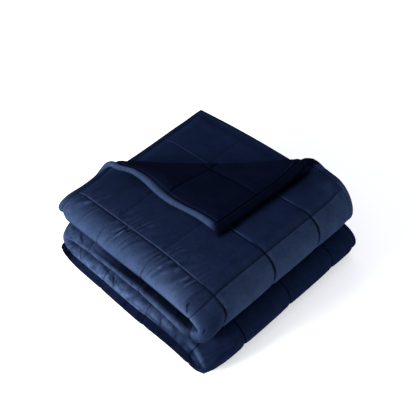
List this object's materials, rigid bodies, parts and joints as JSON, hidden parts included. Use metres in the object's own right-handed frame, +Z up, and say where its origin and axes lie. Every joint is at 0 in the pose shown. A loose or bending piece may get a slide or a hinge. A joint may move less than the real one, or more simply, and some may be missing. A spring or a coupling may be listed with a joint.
{
  "type": "weighted blanket",
  "caption": "Quilted weighted blanket, folded into a thick stack with one corner of its top layer turned back.",
  "frame": {"origin": "centre of the base, on the surface that the folded blanket lies on", "axes": "+Z up; the turned-back corner is at -X +Y, the folded edges face +X, the doubled edge faces -Y"},
  "size_m": [0.4358, 0.4314, 0.1895],
  "materials": {
    "velvet": "short-pile polyester velvet in dark navy, quilted in squares with thread of the same colour"
  },
  "bodies": {
    "root": {"blanket": "velvet"}
  },
  "joints": []
}
